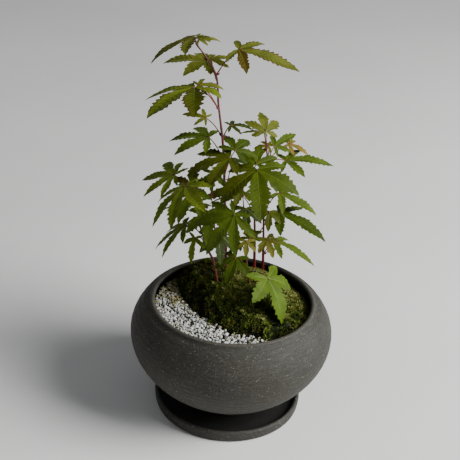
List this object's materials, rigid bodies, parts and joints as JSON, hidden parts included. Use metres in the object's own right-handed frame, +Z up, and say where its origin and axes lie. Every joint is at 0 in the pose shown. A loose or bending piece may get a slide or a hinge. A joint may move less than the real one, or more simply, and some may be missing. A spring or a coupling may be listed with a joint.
{
  "type": "potted japanese maple",
  "caption": "Young japanese maple group: slender red stems with green palmate leaves in a round dark stoneware bowl on a saucer, dressed with moss and pale grit.",
  "frame": {"origin": "centre of the saucer's flat underside, on the surface the pot stands on", "axes": "+Z up, -Y towards the front of the planting, where the white grit lies to the left"},
  "size_m": [0.12, 0.1239, 0.229],
  "materials": {
    "bowl": "matt unglazed stoneware with fine speckles",
    "saucer": "matt unglazed stoneware",
    "soil": "damp crumbly potting soil",
    "moss": "soft tufted moss",
    "grit": "crushed white grit",
    "bark": "smooth young red bark",
    "leaf": "soft satin leaf"
  },
  "bodies": {
    "root": {"bough_left_rear": "bark", "bough_middle_left": "bark", "bowl": "bowl", "grit_bed": "grit", "leaves_left_front": "leaf", "leaves_left_low": "leaf", "leaves_left_new": "leaf", "leaves_left_top": "leaf", "leaves_low_front": "leaf", "leaves_low_right": "leaf", "leaves_mid_front": "leaf", "leaves_mid_left": "leaf", "leaves_middle_front": "leaf", "leaves_middle_left": "leaf", "leaves_middle_low": "leaf", "leaves_middle_right": "leaf", "leaves_rear_bough": "leaf", "leaves_rear_left": "leaf", "leaves_rear_middle": "leaf", "leaves_rear_right": "leaf", "leaves_rear_tall": "leaf", "leaves_right_low": "leaf", "leaves_right_middle": "leaf", "leaves_right_out": "leaf", "leaves_right_top": "leaf", "leaves_right_young": "leaf", "leaves_small_left": "leaf", "leaves_small_right": "leaf", "leaves_small_top": "leaf", "leaves_top_left": "leaf", "leaves_top_rear": "leaf", "leaves_top_right": "leaf", "leaves_upper_left": "leaf", "leaves_young_left": "leaf", "leaves_young_right": "leaf", "moss_mound": "moss", "saucer": "saucer", "soil": "soil", "stem_left": "bark", "stem_middle": "bark", "stem_right": "bark", "stem_small": "bark", "stem_tall": "bark"}
  },
  "joints": []
}
